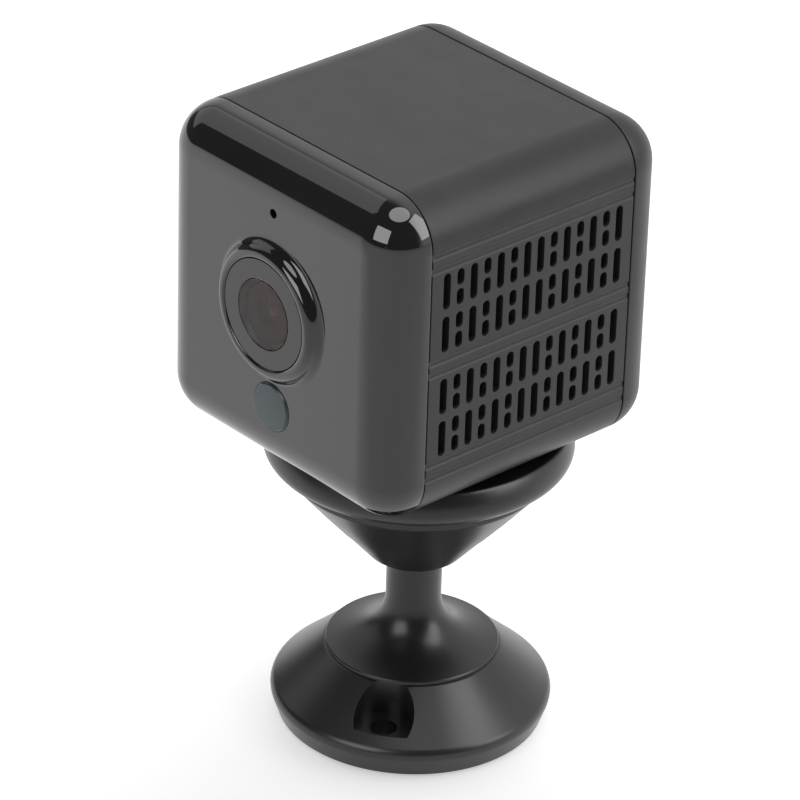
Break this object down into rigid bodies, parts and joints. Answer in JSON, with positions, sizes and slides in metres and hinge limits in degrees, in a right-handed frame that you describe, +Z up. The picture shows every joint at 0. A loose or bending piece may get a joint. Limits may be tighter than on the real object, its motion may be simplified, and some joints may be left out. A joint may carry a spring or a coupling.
{
  "type": "security camera",
  "caption": "Small cube-shaped indoor security camera with rounded edges and vented sides, held by a magnet on a short ball-head stand with a round cone foot.",
  "frame": {"origin": "centre of the foot's underside, on the surface it stands on, on the stem's axis", "axes": "+Z up along the stem; the camera's lens looks along -Y; +X is to the right of someone who looks at the lens from the front"},
  "size_m": [0.04, 0.0439, 0.0795],
  "materials": {
    "gloss_black": "high-gloss black injection-moulded plastic",
    "satin_black": "fine satin black moulded plastic",
    "frame_black": "plain black moulded plastic",
    "bright_steel": "plain rolled steel",
    "dark_steel": "blackened steel",
    "tinted_glass": "dark brown tinted window",
    "clear_glass": "coated optical glass",
    "filter_glass": "blue-green filter glass",
    "sensor_glass": "dark sensor die under cover glass",
    "board_green": "solder-mask green circuit board",
    "board_black": "solder-mask black circuit board",
    "lamp_clear": "clear epoxy",
    "sensor_blue": "blue-grey translucent moulding",
    "black_rubber": "fine matt rubber",
    "battery_foil": "laminated aluminium pouch",
    "black_foam": "thin foam tape",
    "dust_cloth": "fine woven dust cloth",
    "grey_silicone": "soft thermal pad",
    "raw_aluminium": "bare extruded aluminium",
    "chip_black": "moulded chip package",
    "copper_film": "copper antenna film",
    "white_nylon": "natural nylon",
    "red_lead": "insulated stranded wire",
    "ribbon_amber": "amber flexible circuit",
    "card_black": "plain black card",
    "stand_black": "satin black moulded plastic",
    "stand_metal": "satin black anodised aluminium",
    "magnet_nickel": "nickel-plated magnet"
  },
  "bodies": {
    "stand_foot": {"foot": "stand_black", "foot_pad": "black_rubber", "foot_magnet": "magnet_nickel", "foot_screw": "dark_steel", "ball_stem": "stand_metal"},
    "ball_liner": {"ball_liner": "white_nylon"},
    "stand_head": {"head_shell": "stand_black", "head_magnet": "magnet_nickel", "grip_pad": "black_rubber"},
    "lock_nut": {"lock_nut": "stand_black"},
    "camera": {"front_panel": "gloss_black", "main_housing": "satin_black", "rear_cover": "satin_black", "keeper_disc": "bright_steel", "lens_bezel": "gloss_black", "lens_trim": "gloss_black", "lens_window": "tinted_glass", "lens_barrel": "frame_black", "front_lens_element": "clear_glass", "rear_lens_element": "clear_glass", "lens_holder": "frame_black", "infrared_filter": "filter_glass", "image_sensor": "sensor_glass", "sensor_board": "board_green", "front_board": "board_black", "infrared_lamps": "lamp_clear", "motion_sensor_lens": "sensor_blue", "motion_sensor": "bright_steel", "microphone": "bright_steel", "microphone_gasket": "black_rubber", "front_board_screws": "dark_steel", "inner_frame": "frame_black", "battery": "battery_foil", "battery_pads": "black_foam", "main_board": "board_green", "processor_chip": "chip_black", "thermal_pad": "grey_silicone", "heat_sink": "raw_aluminium", "memory_chip": "chip_black", "wifi_module": "bright_steel", "wifi_antenna": "copper_film", "usb_port": "bright_steel", "card_socket": "bright_steel", "button_board": "board_green", "slide_switch_body": "frame_black", "reset_switch": "chip_black", "status_led": "lamp_clear", "status_light_pipe": "lamp_clear", "speaker": "chip_black", "rear_cover_screws": "dark_steel", "vent_screens": "dust_cloth", "battery_plug": "white_nylon", "battery_leads": "red_lead", "speaker_leads": "red_lead", "ribbon_cable": "ribbon_amber"},
    "memory_card": {"memory_card": "card_black"},
    "power_switch": {"power_switch_knob": "frame_black"},
    "reset_button": {"reset_button": "frame_black"}
  },
  "joints": [
    {"name": "head_pan", "type": "hinge", "parent": "stand_foot", "child": "ball_liner", "pos_m": [0, 0, 0.0259], "axis": [0, 0, 1], "continuous": true},
    {"name": "head_tilt", "type": "hinge", "parent": "ball_liner", "child": "stand_head", "pos_m": [0, 0, 0.0259], "axis": [1, 0, 0], "range_deg": [-17.5, 17.5]},
    {"name": "lock_nut_turn", "type": "hinge", "parent": "stand_head", "child": "lock_nut", "pos_m": [0, 0, 0.0275], "axis": [0, 0, 1], "range_deg": [0, 180]},
    {"name": "camera_swivel", "type": "hinge", "parent": "stand_head", "child": "camera", "pos_m": [0, 0, 0.0395], "axis": [0, 0, 1], "continuous": true},
    {"name": "card_slide", "type": "slide", "parent": "camera", "child": "memory_card", "axis": [0, 1, 0], "range_m": [0, 0.013]},
    {"name": "power_switch_slide", "type": "slide", "parent": "camera", "child": "power_switch", "axis": [1, 0, 0], "range_m": [0, 0.002]},
    {"name": "reset_press", "type": "slide", "parent": "camera", "child": "reset_button", "axis": [0, -1, 0], "range_m": [0, 0.0004], "stiffness_N_per_m": 300}
  ]
}
